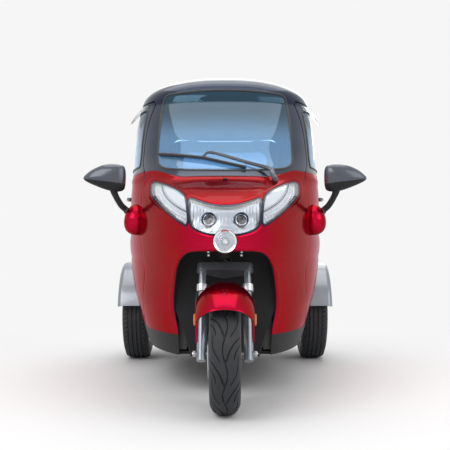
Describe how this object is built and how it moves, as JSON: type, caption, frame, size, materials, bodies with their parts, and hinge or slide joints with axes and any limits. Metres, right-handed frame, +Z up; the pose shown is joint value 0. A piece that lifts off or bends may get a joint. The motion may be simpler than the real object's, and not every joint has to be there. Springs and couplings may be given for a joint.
{
  "type": "enclosed electric tricycle",
  "caption": "small closed electric tricycle with a steered front wheel in a fork, driven rear wheels, side doors and a rear lid",
  "frame": {"origin": "on the ground under the middle of the vehicle's bounding box", "axes": "+Z up, the front faces -Y, +X is the vehicle's own left"},
  "size_m": [1.3174, 2.1815, 1.545],
  "materials": {
    "red_paint": "metallic gloss",
    "black_paint": "gloss",
    "glass": "tinted",
    "clear_plastic": "clear",
    "lamp_lens": "clear",
    "red_lens": "translucent red",
    "black_plastic": "textured",
    "silver_plastic": "satin",
    "frame_paint": "satin",
    "bare_steel": "bright",
    "bar_black": "satin",
    "upholstery": "woven",
    "tyre": "matte",
    "rim": "satin"
  },
  "bodies": {
    "root": {"nose_cowl": "red_paint", "rear_quarters": "red_paint", "screen_frame": "black_paint", "roof": "black_paint", "rear_cabin": "black_paint", "windscreen": "glass", "quarter_glass": "glass", "headlamp": "lamp_lens", "side_lamps": "lamp_lens", "nose_lamp": "lamp_lens", "tail_lamps": "red_lens", "floor_pan": "black_plastic", "wheelhouse": "black_plastic", "rear_bumper": "black_plastic", "wiper": "black_plastic", "dashboard": "black_plastic", "battery_box": "black_plastic", "rear_fenders": "silver_plastic", "chassis_frame": "frame_paint", "rear_axle": "frame_paint", "brake_pedal": "frame_paint", "rear_springs": "bare_steel", "driver_seat": "upholstery", "rear_bench": "upholstery"},
    "steering": {"steering_column": "bare_steel", "fork": "bare_steel", "front_fender": "red_paint"},
    "front_wheel": {"front_tyre": "tyre", "front_rim": "rim", "brake_disc": "bare_steel"},
    "handlebar": {"handlebar": "bar_black"},
    "rear_left_wheel": {"rear_left_tyre": "tyre", "rear_left_rim": "rim"},
    "rear_right_wheel": {"rear_right_tyre": "tyre", "rear_right_rim": "rim"},
    "door_left": {"door_left_panel": "red_paint", "door_left_frame": "black_paint", "door_left_glass": "glass", "mirror_left": "black_plastic", "visor_left": "clear_plastic"},
    "door_right": {"door_right_panel": "red_paint", "door_right_frame": "black_paint", "door_right_glass": "glass", "mirror_right": "black_plastic", "visor_right": "clear_plastic"},
    "tailgate": {"tailgate": "red_paint", "rear_window": "glass"}
  },
  "joints": [
    {"name": "steering", "type": "hinge", "parent": "root", "child": "steering", "pos_m": [0, -0.81805, 0.21847], "axis": [0, 0.4384, 0.8988], "range_deg": [-32, 32]},
    {"name": "front_wheel_spin", "type": "hinge", "parent": "steering", "child": "front_wheel", "pos_m": [0, -0.854, 0.236], "axis": [1, 0, 0], "continuous": true},
    {"name": "handlebar_turn", "type": "hinge", "parent": "root", "child": "handlebar", "pos_m": [0, -0.19, 0.965], "axis": [0, 0.7071, 0.7071], "range_deg": [-32, 32]},
    {"name": "rear_left_wheel_spin", "type": "hinge", "parent": "root", "child": "rear_left_wheel", "pos_m": [0.504, 0.646, 0.254], "axis": [1, 0, 0], "continuous": true},
    {"name": "rear_right_wheel_spin", "type": "hinge", "parent": "root", "child": "rear_right_wheel", "pos_m": [-0.504, 0.646, 0.254], "axis": [1, 0, 0], "continuous": true},
    {"name": "door_left_swing", "type": "hinge", "parent": "root", "child": "door_left", "pos_m": [0.388, -0.37, 0.6], "axis": [0, 0, -1], "range_deg": [0, 65]},
    {"name": "door_right_swing", "type": "hinge", "parent": "root", "child": "door_right", "pos_m": [-0.388, -0.37, 0.6], "axis": [0, 0, 1], "range_deg": [0, 65]},
    {"name": "tailgate_lift", "type": "hinge", "parent": "root", "child": "tailgate", "pos_m": [0, 0.906, 1.3], "axis": [1, 0, 0], "range_deg": [0, 75]}
  ],
  "couplings": [
    {"joint": "handlebar_turn", "follows": "steering", "ratio": 1}
  ]
}
